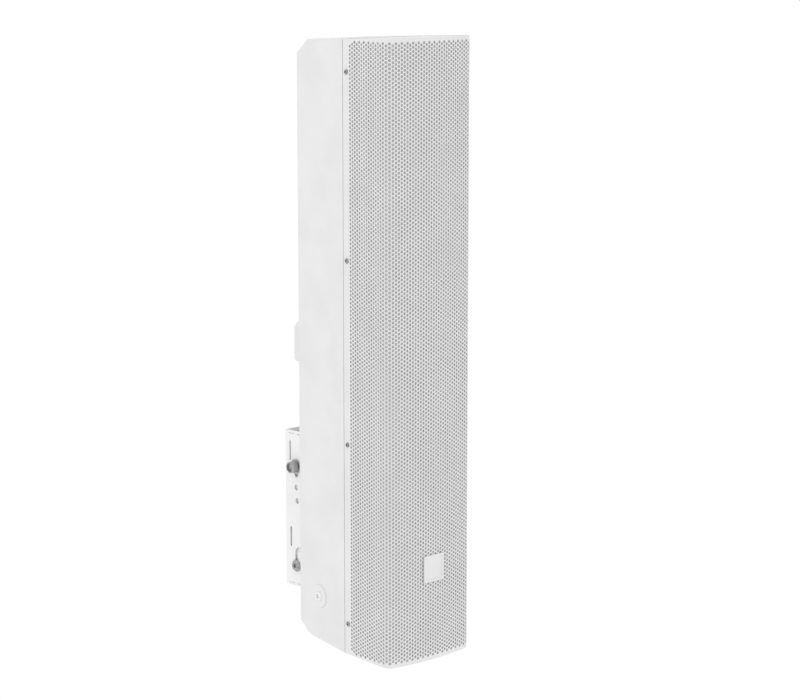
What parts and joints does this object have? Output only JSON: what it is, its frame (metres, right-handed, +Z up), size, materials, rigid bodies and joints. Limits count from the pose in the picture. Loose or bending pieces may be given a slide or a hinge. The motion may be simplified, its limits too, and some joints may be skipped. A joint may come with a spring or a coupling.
{
  "type": "line array speaker",
  "caption": "Slim wall-mounted column loudspeaker with a wrap-around perforated grille, blank badge and a steel bracket that lets it tilt down.",
  "frame": {"origin": "centre of the wall bracket's rear face, midway between its four wall holes", "axes": "+Y points into the wall and -Y towards the audience; +Z points up along the column; +X is to the right for someone who faces the grille"},
  "size_m": [0.1862, 0.3109, 1.0078],
  "materials": {
    "white_steel": "fine-textured powder coat",
    "white_shell": "fine-textured white paint",
    "bolt_steel": "zinc-plated, satin",
    "screw_steel": "zinc-plated, satin",
    "baffle_board": "birch plywood, painted",
    "gasket_foam": "matt foam rubber",
    "scrim_cloth": "open-weave cloth",
    "basket_steel": "black stove enamel",
    "ferrite": "matt sintered",
    "plate_steel": "zinc-plated",
    "cone_paper": "pressed fibre",
    "coil_copper": "enamelled wire",
    "roll_rubber": "smooth rubber",
    "spider_cloth": "resin-treated cloth",
    "horn_plastic": "fine-grained",
    "dome_cloth": "coated silk",
    "board_laminate": "solder-masked",
    "part_film": "glossy film",
    "part_ceramic": "ceramic",
    "standoff_brass": "bright",
    "terminal_plastic": "fine-grained",
    "wadding": "fluffy polyester"
  },
  "bodies": {
    "wall": {"wall_bracket": "white_steel", "clamp_bolts": "bolt_steel", "clamp_washers": "bolt_steel", "clamp_nuts": "bolt_steel"},
    "speaker": {"speaker_bracket": "white_steel", "bracket_screws": "bolt_steel", "pivot_bolts": "bolt_steel", "pivot_nuts": "bolt_steel", "cabinet_shell": "white_shell", "baffle": "baffle_board", "baffle_gasket": "gasket_foam", "baffle_screws": "screw_steel", "grille": "white_steel", "grille_screws": "screw_steel", "end_plates": "white_shell", "grille_scrim": "scrim_cloth", "badge": "white_shell", "waveguide": "horn_plastic", "waveguide_saddles": "horn_plastic", "tweeter_housings": "horn_plastic", "tweeter_domes": "dome_cloth", "crossover_board": "board_laminate", "board_standoffs": "standoff_brass", "inductors": "coil_copper", "capacitors": "part_film", "resistors": "part_ceramic", "terminal_plate": "plate_steel", "terminal_block": "terminal_plastic", "terminal_cover": "white_shell", "terminal_cover_gasket": "gasket_foam", "terminal_cover_screws": "screw_steel", "cable_gland": "white_shell", "rigging_discs": "white_shell", "rigging_bolts": "white_steel", "rigging_nuts": "bolt_steel", "damping_pads": "wadding", "woofer_top_plates": "plate_steel", "woofer_magnets": "ferrite", "woofer_yokes": "plate_steel", "woofer_surrounds": "roll_rubber", "woofer_spiders": "spider_cloth", "woofer_screws": "screw_steel", "woofer_1_basket": "basket_steel", "woofer_2_basket": "basket_steel", "woofer_3_basket": "basket_steel", "woofer_4_basket": "basket_steel", "woofer_5_basket": "basket_steel", "woofer_6_basket": "basket_steel"},
    "woofer_1_diaphragm": {"woofer_1_cone": "cone_paper", "woofer_1_coil": "coil_copper"},
    "woofer_2_diaphragm": {"woofer_2_cone": "cone_paper", "woofer_2_coil": "coil_copper"},
    "woofer_3_diaphragm": {"woofer_3_cone": "cone_paper", "woofer_3_coil": "coil_copper"},
    "woofer_4_diaphragm": {"woofer_4_cone": "cone_paper", "woofer_4_coil": "coil_copper"},
    "woofer_5_diaphragm": {"woofer_5_cone": "cone_paper", "woofer_5_coil": "coil_copper"},
    "woofer_6_diaphragm": {"woofer_6_cone": "cone_paper", "woofer_6_coil": "coil_copper"}
  },
  "joints": [
    {"name": "tilt", "type": "hinge", "parent": "wall", "child": "speaker", "pos_m": [0, -0.0296, -0.0977], "axis": [1, 0, 0], "range_deg": [0, 6]},
    {"name": "woofer_1_travel", "type": "slide", "parent": "speaker", "child": "woofer_1_diaphragm", "axis": [0, -1, 0], "range_m": [-0.004, 0.004], "stiffness_N_per_m": 1000, "deforming": ["woofer_surrounds", "woofer_spiders"]},
    {"name": "woofer_2_travel", "type": "slide", "parent": "speaker", "child": "woofer_2_diaphragm", "axis": [0, -1, 0], "range_m": [-0.004, 0.004], "stiffness_N_per_m": 1000},
    {"name": "woofer_3_travel", "type": "slide", "parent": "speaker", "child": "woofer_3_diaphragm", "axis": [0, -1, 0], "range_m": [-0.004, 0.004], "stiffness_N_per_m": 1000},
    {"name": "woofer_4_travel", "type": "slide", "parent": "speaker", "child": "woofer_4_diaphragm", "axis": [0, -1, 0], "range_m": [-0.004, 0.004], "stiffness_N_per_m": 1000},
    {"name": "woofer_5_travel", "type": "slide", "parent": "speaker", "child": "woofer_5_diaphragm", "axis": [0, -1, 0], "range_m": [-0.004, 0.004], "stiffness_N_per_m": 1000},
    {"name": "woofer_6_travel", "type": "slide", "parent": "speaker", "child": "woofer_6_diaphragm", "axis": [0, -1, 0], "range_m": [-0.004, 0.004], "stiffness_N_per_m": 1000}
  ],
  "couplings": [
    {"joint": "woofer_2_travel", "follows": "woofer_1_travel", "ratio": 1},
    {"joint": "woofer_3_travel", "follows": "woofer_1_travel", "ratio": 1},
    {"joint": "woofer_4_travel", "follows": "woofer_1_travel", "ratio": 1},
    {"joint": "woofer_5_travel", "follows": "woofer_1_travel", "ratio": 1},
    {"joint": "woofer_6_travel", "follows": "woofer_1_travel", "ratio": 1}
  ]
}
